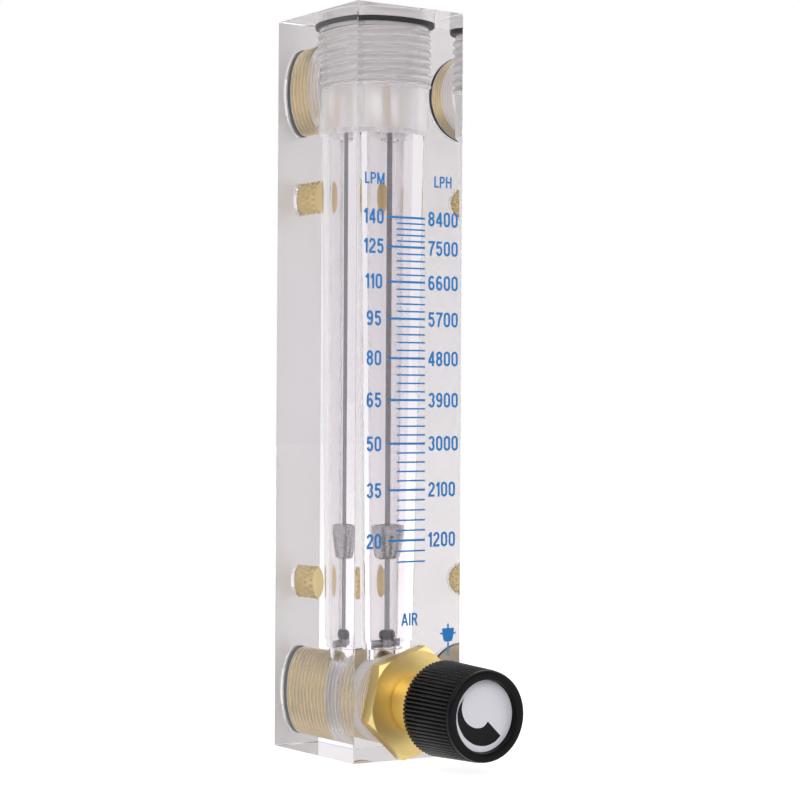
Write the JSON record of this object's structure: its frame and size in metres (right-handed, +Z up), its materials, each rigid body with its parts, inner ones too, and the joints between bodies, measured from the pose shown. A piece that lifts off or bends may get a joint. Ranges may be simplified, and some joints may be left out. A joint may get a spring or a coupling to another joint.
{
  "type": "rotameter",
  "caption": "Clear acrylic block flow meter: tapered bore with a rod-guided float, blue scale face, rear threaded ports and a ribbed knob valve at the foot.",
  "frame": {"origin": "centre of the metering bore's axis in the plane of the block's base", "axes": "+Z up along the metering bore, scale face and valve towards -Y, ports and mounting inserts towards +Y"},
  "size_m": [0.028, 0.064, 0.166],
  "materials": {
    "clear_acrylic": "cast acrylic, machined and polished clear",
    "brass": "turned, lightly dulled",
    "stainless": "bright drawn",
    "float_metal": "fine turned",
    "black_rubber": "moulded, satin",
    "black_plastic": "moulded, semi-gloss",
    "white_plastic": "smooth, printed pointer"
  },
  "bodies": {
    "meter": {"meter_block": "clear_acrylic", "top_plug": "clear_acrylic", "top_plug_seal": "black_rubber", "guide_rod": "stainless", "rod_bridge": "stainless", "float_bumper": "black_rubber", "inlet_bushing": "brass", "outlet_bushing": "brass", "inlet_seal": "black_rubber", "outlet_seal": "black_rubber", "lower_insert": "brass", "upper_insert": "brass", "valve_bonnet": "brass", "stem_seal": "black_rubber"},
    "float": {"float": "float_metal"},
    "valve_disc": {"disc_holder": "brass", "seat_washer": "black_rubber", "washer_screw": "stainless"},
    "spindle": {"spindle": "brass", "knob": "black_plastic", "knob_screw": "stainless", "knob_disc": "white_plastic"}
  },
  "joints": [
    {"name": "float_travel", "type": "slide", "parent": "meter", "child": "float", "axis": [0, 0, 1], "range_m": [-0.0158, 0.086]},
    {"name": "disc_advance", "type": "slide", "parent": "meter", "child": "valve_disc", "axis": [0, 1, 0], "range_m": [-0.00203, 0.00103]},
    {"name": "knob_turn", "type": "hinge", "parent": "valve_disc", "child": "spindle", "pos_m": [0, 0, 0.0127], "axis": [0, 1, 0], "range_deg": [-720, 360]}
  ],
  "couplings": [
    {"joint": "disc_advance", "follows": "knob_turn", "m_per_rad": 0.00015915}
  ]
}
